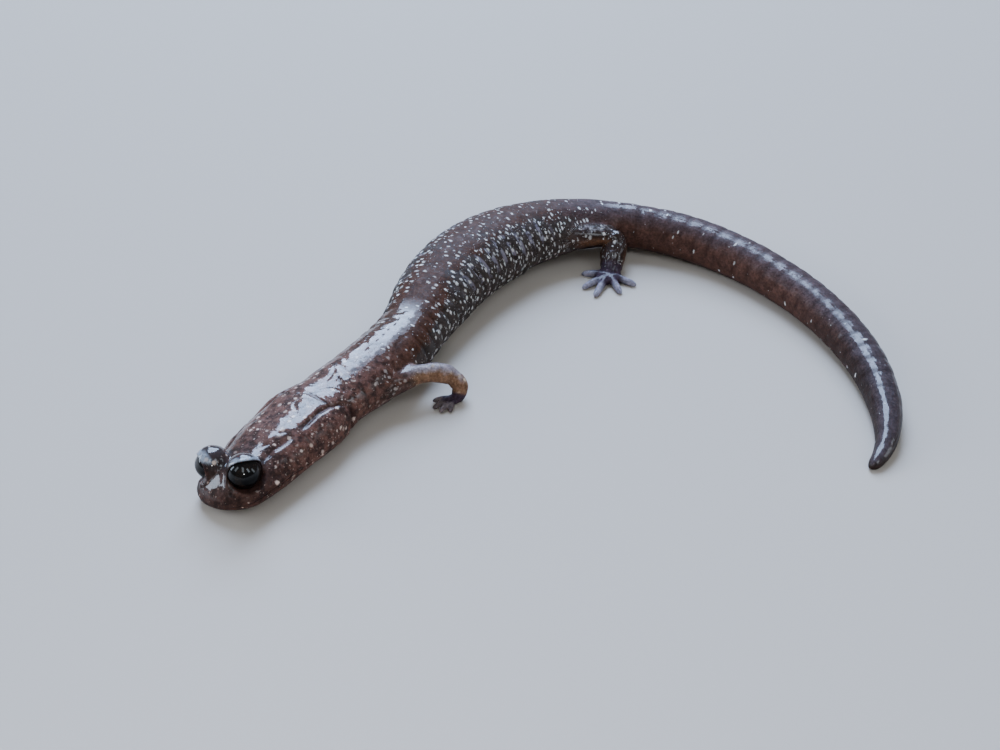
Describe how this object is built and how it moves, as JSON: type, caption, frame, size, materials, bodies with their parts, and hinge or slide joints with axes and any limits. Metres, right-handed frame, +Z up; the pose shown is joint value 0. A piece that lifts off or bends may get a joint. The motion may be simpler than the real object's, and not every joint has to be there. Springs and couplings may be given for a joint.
{
  "type": "siskiyou mountains salamander, life-size model",
  "caption": "Life-size still model of a slender lungless salamander at rest, its body and tail in one long bend, short limbs swept back, large dark eyes.",
  "frame": {"origin": "middle of the animal's box in plan, on the level floor that it rests on", "axes": "+Z up; +X is the longest side of the box, with the head at -X and the tail at +X; the bend of the body opens towards -Y"},
  "size_m": [0.0636, 0.0536, 0.0071],
  "materials": {
    "head_skin": "moist reddish-brown skin with pale flecks, wet gloss",
    "trunk_skin": "moist dark brown skin, grey-black flanks with dense whitish flecks, wet gloss",
    "tail_skin": "moist purplish-brown skin with few flecks, wet gloss",
    "leg_skin": "moist orange-brown translucent skin, grey speckles above, wet gloss",
    "eye": "black, wet and clear"
  },
  "bodies": {
    "root": {"head": "head_skin", "eye_left": "eye", "eye_right": "eye", "neck": "trunk_skin", "trunk_front": "trunk_skin", "trunk_mid": "trunk_skin", "trunk_rear": "trunk_skin", "tail_base": "tail_skin", "tail_mid": "tail_skin", "tail_tip": "tail_skin", "foreleg_left": "leg_skin", "foreleg_right": "leg_skin", "hindleg_left": "leg_skin", "hindleg_right": "leg_skin"}
  },
  "joints": []
}
